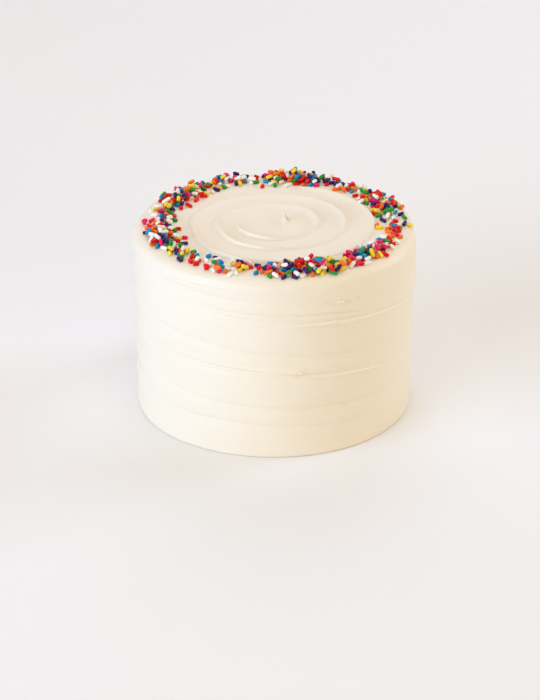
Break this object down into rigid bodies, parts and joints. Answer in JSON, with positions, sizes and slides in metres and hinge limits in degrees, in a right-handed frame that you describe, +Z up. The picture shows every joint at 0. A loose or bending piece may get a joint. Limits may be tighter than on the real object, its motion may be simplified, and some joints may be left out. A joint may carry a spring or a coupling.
{
  "type": "vanilla sprinkle cake",
  "caption": "Tall round layer cake in cream vanilla icing, with spatula bands winding down its side, a swirled top and a ring of coloured rod sprinkles round the rim.",
  "frame": {"origin": "middle of the cake's flat base", "axes": "+Z up, and the side that faced the camera looks along -Y"},
  "size_m": [0.165, 0.165, 0.115],
  "materials": {
    "icing": "soft satin buttercream",
    "sprinkle_red": "satin sugar glaze",
    "sprinkle_orange": "satin sugar glaze",
    "sprinkle_yellow": "satin sugar glaze",
    "sprinkle_green": "satin sugar glaze",
    "sprinkle_blue": "satin sugar glaze",
    "sprinkle_purple": "satin sugar glaze",
    "sprinkle_pink": "satin sugar glaze",
    "sprinkle_white": "satin sugar glaze"
  },
  "bodies": {
    "root": {"cake": "icing"}
  },
  "joints": []
}
